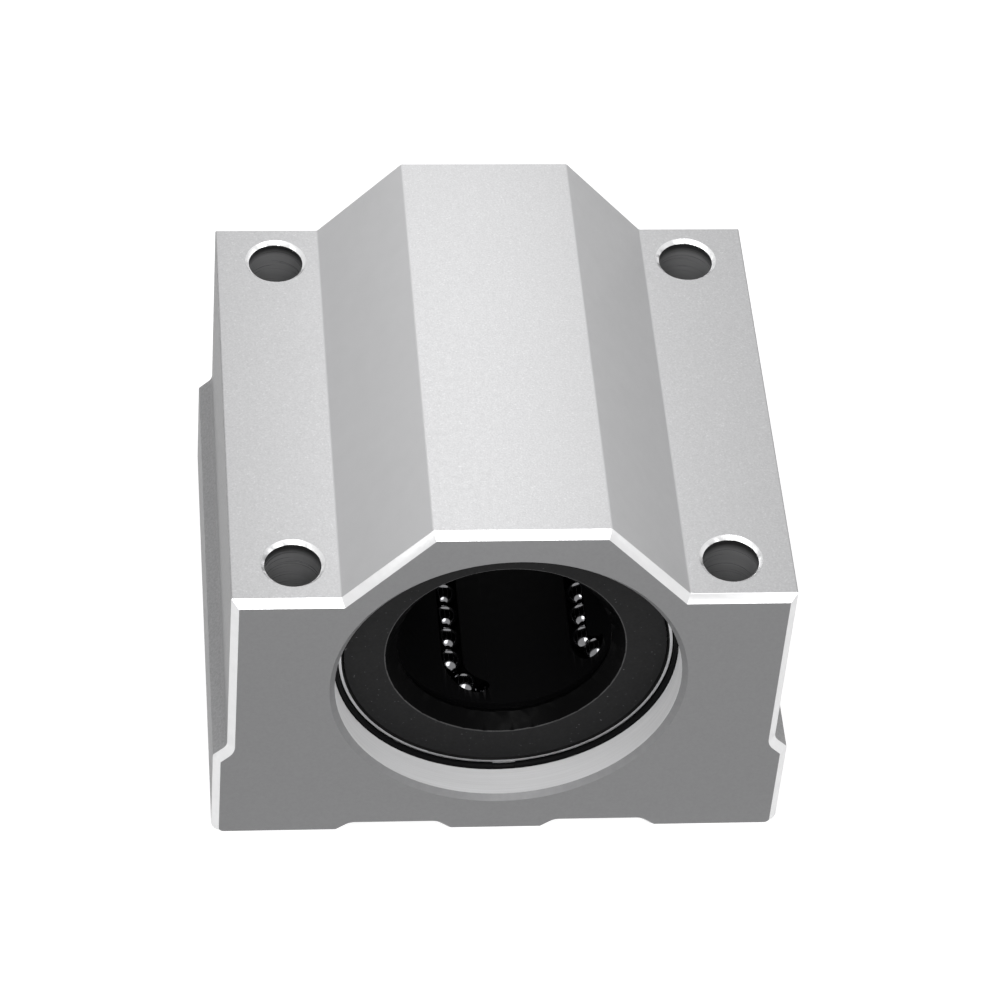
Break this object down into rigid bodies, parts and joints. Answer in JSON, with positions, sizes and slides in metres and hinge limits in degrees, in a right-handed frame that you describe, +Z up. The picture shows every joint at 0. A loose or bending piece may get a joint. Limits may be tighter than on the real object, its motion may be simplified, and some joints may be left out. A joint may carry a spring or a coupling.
{
  "type": "linear bearing block",
  "caption": "Slide block with a wide flat base, flat shoulders and a hump over a bore that holds a sealed recirculating-ball bearing for a round shaft.",
  "frame": {"origin": "middle of the underside, on the plane that the feet stand on", "axes": "+X across the block, +Y along the shaft from the front end to the rear, +Z up from the mounting face to the hump"},
  "size_m": [0.054, 0.05, 0.041],
  "materials": {
    "housing_aluminium": "fine blasted and clear anodised, with bright machined chamfers",
    "bearing_steel": "hardened bearing steel, ground",
    "cage_plastic": "black moulded resin",
    "ball_steel": "polished bearing steel",
    "ring_steel": "stamped spring steel",
    "seal_rubber": "black moulded nitrile, satin",
    "snap_ring_steel": "blackened spring wire"
  },
  "bodies": {
    "root": {"housing": "housing_aluminium", "bearing_sleeve": "bearing_steel", "ball_cage": "cage_plastic", "loaded_balls_1": "ball_steel", "loaded_balls_2": "ball_steel", "loaded_balls_3": "ball_steel", "loaded_balls_4": "ball_steel", "loaded_balls_5": "ball_steel", "return_balls_1": "ball_steel", "return_balls_2": "ball_steel", "return_balls_3": "ball_steel", "return_balls_4": "ball_steel", "return_balls_5": "ball_steel", "turning_balls_1": "ball_steel", "turning_balls_2": "ball_steel", "turning_balls_3": "ball_steel", "turning_balls_4": "ball_steel", "turning_balls_5": "ball_steel", "side_ring_front": "ring_steel", "side_ring_rear": "ring_steel", "end_seal_front": "seal_rubber", "end_seal_rear": "seal_rubber", "snap_ring_front": "snap_ring_steel", "snap_ring_rear": "snap_ring_steel"}
  },
  "joints": []
}
